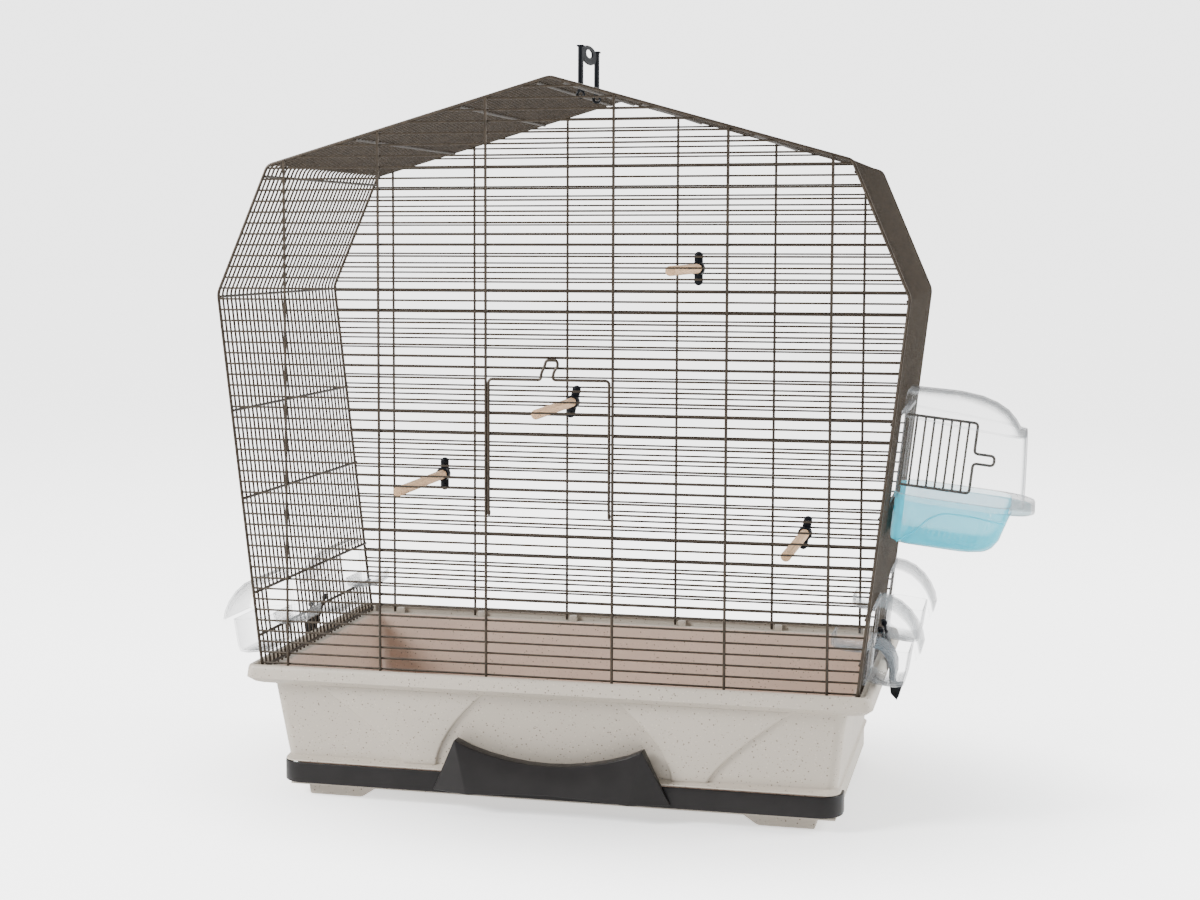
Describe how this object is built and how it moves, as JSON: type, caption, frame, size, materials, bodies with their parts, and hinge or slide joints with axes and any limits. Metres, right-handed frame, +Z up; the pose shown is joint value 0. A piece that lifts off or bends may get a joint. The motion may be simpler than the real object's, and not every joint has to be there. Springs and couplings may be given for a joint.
{
  "type": "bird cage",
  "caption": "Wide gabled wire bird cage on a moulded base with a pull-out tray, doors, perches, clear feeders, a hooded bath and a hanger.",
  "frame": {"origin": "middle of the whole part in plan, on the surface that the feet stand on", "axes": "+X to the right across the width, seen from the front; -Y out of the front; +Z up"},
  "size_m": [0.9024, 0.412, 0.8507],
  "materials": {
    "bronze_wire": "satin bronze-taupe coat",
    "speckled_shell": "light grey-beige with fine speckles",
    "charcoal_plastic": "satin charcoal",
    "black_plastic": "satin black",
    "pale_dowel": "bare",
    "clear_plastic": "clear and polished",
    "blue_plastic": "translucent sky blue, polished"
  },
  "bodies": {
    "base": {"tub": "speckled_shell", "base_pan": "speckled_shell"},
    "drawer": {"drawer_tray": "charcoal_plastic", "drawer_front": "charcoal_plastic", "drawer_handle": "charcoal_plastic"},
    "wire_top": {"front_grille_above_door": "bronze_wire", "front_grille_below_door": "bronze_wire", "front_grille_left": "bronze_wire", "front_grille_right": "bronze_wire", "rear_grille": "bronze_wire", "ridge_wire": "bronze_wire", "roof_grille_left": "bronze_wire", "roof_grille_right": "bronze_wire", "shoulder_grille_left": "bronze_wire", "shoulder_grille_right": "bronze_wire", "wall_grille_left": "bronze_wire", "wall_grille_right": "bronze_wire"},
    "hanger": {"hanger_ring": "black_plastic", "hanger_strap_front": "black_plastic", "hanger_strap_rear": "black_plastic"},
    "front_door": {"front_door": "bronze_wire"},
    "side_door": {"side_door": "bronze_wire"},
    "bath": {"bath_tub": "blue_plastic", "bath_hood": "clear_plastic"},
    "perch_1": {"perch_dowel_1": "pale_dowel", "perch_holder_1": "black_plastic"},
    "perch_2": {"perch_dowel_2": "pale_dowel", "perch_holder_2": "black_plastic"},
    "perch_3": {"perch_dowel_3": "pale_dowel", "perch_holder_3": "black_plastic"},
    "perch_4": {"perch_dowel_4": "pale_dowel", "perch_holder_4": "black_plastic"},
    "feeder_left_front": {"feeder_cup_left_front": "clear_plastic", "feeder_hood_left_front": "clear_plastic", "feeder_scoop_left_front": "clear_plastic"},
    "feeder_left_rear": {"feeder_cup_left_rear": "clear_plastic", "feeder_hood_left_rear": "clear_plastic", "feeder_scoop_left_rear": "clear_plastic"},
    "latch_left": {"base_latch_left": "black_plastic"},
    "feeder_right_front": {"feeder_cup_right_front": "clear_plastic", "feeder_hood_right_front": "clear_plastic", "feeder_scoop_right_front": "clear_plastic"},
    "feeder_right_rear": {"feeder_cup_right_rear": "clear_plastic", "feeder_hood_right_rear": "clear_plastic", "feeder_scoop_right_rear": "clear_plastic"},
    "latch_right": {"base_latch_right": "black_plastic"}
  },
  "joints": [
    {"name": "lift_off", "type": "slide", "parent": "base", "child": "wire_top", "axis": [0, 0, 1], "range_m": [0, 0.25]},
    {"name": "drawer_slide", "type": "slide", "parent": "base", "child": "drawer", "axis": [0, -1, 0], "range_m": [0, 0.3]},
    {"name": "front_door_hinge", "type": "hinge", "parent": "wire_top", "child": "front_door", "pos_m": [-0.0561, -0.192, 0.335], "axis": [1, 0, 0], "range_deg": [0, 115]},
    {"name": "side_door_hinge", "type": "hinge", "parent": "wire_top", "child": "side_door", "pos_m": [0.30334, 0, 0.39389], "axis": [0.1142, 0, 0.9935], "range_deg": [-85, 10]},
    {"name": "bath_slide", "type": "slide", "parent": "wire_top", "child": "bath", "axis": [1, 0, 0], "range_m": [0, 0.12]},
    {"name": "hanger_hinge", "type": "hinge", "parent": "wire_top", "child": "hanger", "pos_m": [-0.0561, 0, 0.7925], "axis": [0, 1, 0], "range_deg": [-5, 5]},
    {"name": "perch_turn_1", "type": "hinge", "parent": "wire_top", "child": "perch_1", "pos_m": [0.0416, 0.1855, 0.593], "axis": [0, 1, 0], "range_deg": [0, 90]},
    {"name": "perch_turn_2", "type": "hinge", "parent": "wire_top", "child": "perch_2", "pos_m": [-0.1164, 0.1855, 0.425], "axis": [0, 1, 0], "range_deg": [0, 90]},
    {"name": "perch_turn_3", "type": "hinge", "parent": "wire_top", "child": "perch_3", "pos_m": [-0.2861, 0.1855, 0.329], "axis": [0, 1, 0], "range_deg": [0, 90]},
    {"name": "perch_turn_4", "type": "hinge", "parent": "wire_top", "child": "perch_4", "pos_m": [0.1769, 0.1855, 0.269], "axis": [0, 1, 0], "range_deg": [0, 90]},
    {"name": "feeder_slide_left_front", "type": "slide", "parent": "wire_top", "child": "feeder_left_front", "axis": [-0.9397, 0, 0.342], "range_m": [0, 0.07]},
    {"name": "feeder_slide_left_rear", "type": "slide", "parent": "wire_top", "child": "feeder_left_rear", "axis": [-0.9397, 0, 0.342], "range_m": [0, 0.07]},
    {"name": "latch_hinge_left", "type": "hinge", "parent": "wire_top", "child": "latch_left", "pos_m": [-0.39164, 0.018, 0.186], "axis": [0, 1, 0], "range_deg": [0, 80]},
    {"name": "feeder_slide_right_front", "type": "slide", "parent": "wire_top", "child": "feeder_right_front", "axis": [0.9397, 0, 0.342], "range_m": [0, 0.07]},
    {"name": "feeder_slide_right_rear", "type": "slide", "parent": "wire_top", "child": "feeder_right_rear", "axis": [0.9397, 0, 0.342], "range_m": [0, 0.07]},
    {"name": "latch_hinge_right", "type": "hinge", "parent": "wire_top", "child": "latch_right", "pos_m": [0.27944, 0.018, 0.186], "axis": [0, -1, 0], "range_deg": [0, 80]}
  ]
}
